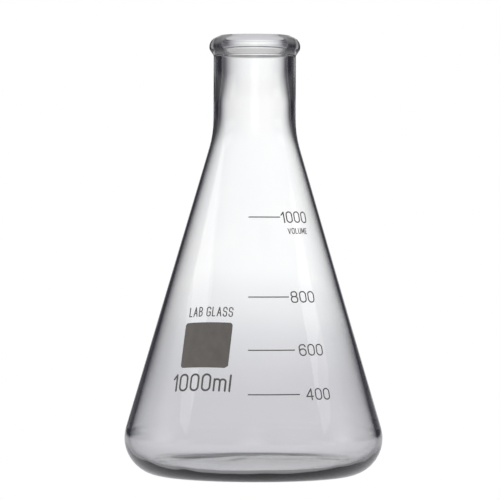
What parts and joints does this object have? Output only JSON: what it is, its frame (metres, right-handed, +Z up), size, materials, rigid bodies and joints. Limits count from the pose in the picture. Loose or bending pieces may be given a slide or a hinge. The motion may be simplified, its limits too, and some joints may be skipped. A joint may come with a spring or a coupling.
{
  "type": "erlenmeyer flask",
  "caption": "Conical glass laboratory flask with a beaded straight neck, a rounded heel, a marking block and a printed volume scale.",
  "frame": {"origin": "on the flask's axis, in the plane that its foot stands on", "axes": "+Z up along the axis to the rim; the marks face -Y, with the marking block towards -X and the volume scale towards +X"},
  "size_m": [0.131, 0.131, 0.223],
  "materials": {
    "glass": "clear, fire polished borosilicate glass",
    "enamel": "warm grey enamel, fired on, matt"
  },
  "bodies": {
    "root": {"flask_body": "glass", "marking_block": "enamel", "glass_caption": "enamel", "capacity_caption": "enamel", "scale_caption": "enamel", "graduation_line_400": "enamel", "numeral_400": "enamel", "graduation_line_600": "enamel", "numeral_600": "enamel", "graduation_line_800": "enamel", "numeral_800": "enamel", "graduation_line_1000": "enamel", "numeral_1000": "enamel"}
  },
  "joints": []
}
